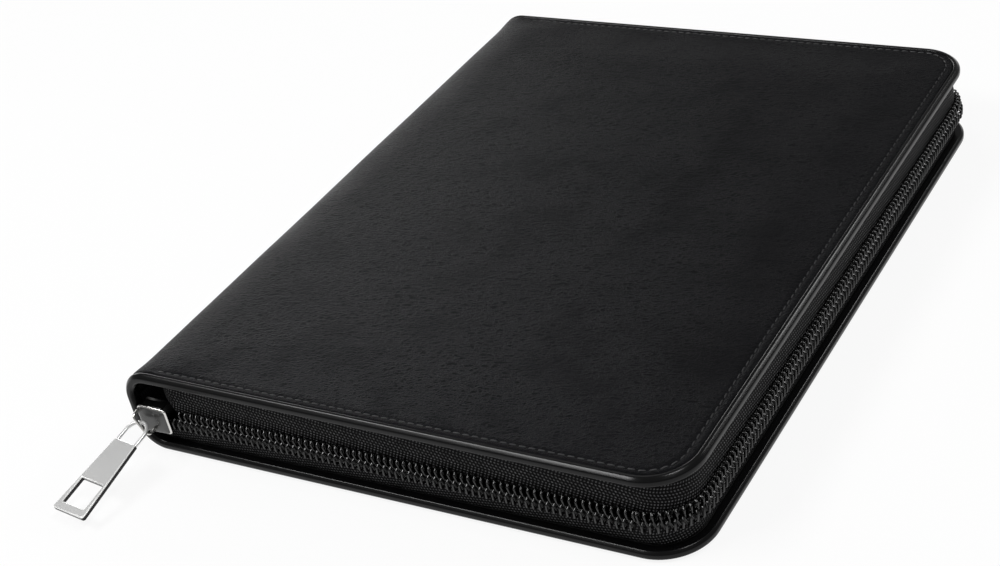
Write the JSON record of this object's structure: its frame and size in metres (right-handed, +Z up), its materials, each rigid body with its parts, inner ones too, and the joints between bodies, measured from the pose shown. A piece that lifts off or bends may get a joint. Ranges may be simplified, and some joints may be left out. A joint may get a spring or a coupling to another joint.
{
  "type": "zippered padfolio",
  "caption": "Black leather-look zip-round padfolio, closed, with a rounded spine, bound edges, coil zipper and flat metal pull; opens flat on a writing pad.",
  "frame": {"origin": "centre of the closed case's footprint, on the table under the lower cover", "axes": "+X from the spine to the zip side, +Y along the spine away from the slider, +Z up"},
  "size_m": [0.1937, 0.278, 0.029],
  "materials": {
    "cover_leather": "fine grained, semi-matte",
    "edge_binding": "smooth, satin",
    "padding": "soft foam",
    "cover_board": "grey board",
    "lining": "fine woven cloth",
    "zipper_tape": "herringbone weave",
    "zipper_coil": "glossy nylon",
    "slider_metal": "bright nickel",
    "pull_metal": "satin nickel with bright edges",
    "pad_board": "plain board",
    "paper": "plain writing paper",
    "head_tape": "cloth tape",
    "pocket_leather": "fine grained, semi-matte",
    "elastic": "ribbed elastic"
  },
  "bodies": {
    "bottom_cover": {"bottom_leather": "cover_leather", "bottom_padding": "padding", "bottom_board": "cover_board", "bottom_lining": "lining", "bottom_binding": "edge_binding", "lower_zipper_tape": "zipper_tape", "lower_coil_front": "zipper_coil", "lower_coil_sides": "zipper_coil", "lower_end_stop": "slider_metal", "notepad_backing": "pad_board", "notepad_paper": "paper", "notepad_head_tape": "head_tape", "notepad_sleeve": "pocket_leather", "pen_loop": "elastic"},
    "spine": {"spine_leather": "cover_leather", "spine_stiffener": "cover_board", "spine_lining": "lining", "spine_end_bindings": "edge_binding"},
    "top_cover": {"top_leather": "cover_leather", "top_padding": "padding", "top_board": "cover_board", "top_lining": "lining", "top_binding": "edge_binding", "upper_zipper_tape": "zipper_tape", "upper_coil_front": "zipper_coil", "upper_coil_sides": "zipper_coil", "upper_end_stop": "slider_metal", "document_pocket": "pocket_leather", "card_slot_1": "pocket_leather", "card_slot_2": "pocket_leather", "card_slot_3": "pocket_leather"},
    "slider": {"slider_body": "slider_metal", "slider_bail": "slider_metal"},
    "pull": {"pull_tab": "pull_metal"}
  },
  "joints": [
    {"name": "spine_fold", "type": "hinge", "parent": "bottom_cover", "child": "spine", "pos_m": [-0.09207, 0, 0.00293], "axis": [0, -1, 0], "range_deg": [0, 90]},
    {"name": "cover_fold", "type": "hinge", "parent": "spine", "child": "top_cover", "pos_m": [-0.09207, 0, 0.02607], "axis": [0, -1, 0], "range_deg": [0, 90]},
    {"name": "slider_travel", "type": "slide", "parent": "bottom_cover", "child": "slider", "axis": [1, 0, 0], "range_m": [0, 0.155], "deforming": ["lower_coil_front", "upper_coil_front"]},
    {"name": "pull_swing", "type": "hinge", "parent": "slider", "child": "pull", "pos_m": [-0.0878, -0.1244, 0.013], "axis": [-0.0333, -0.2533, 0.9668], "range_deg": [-40, 40]}
  ],
  "couplings": [
    {"joint": "cover_fold", "follows": "spine_fold", "ratio": 1}
  ]
}
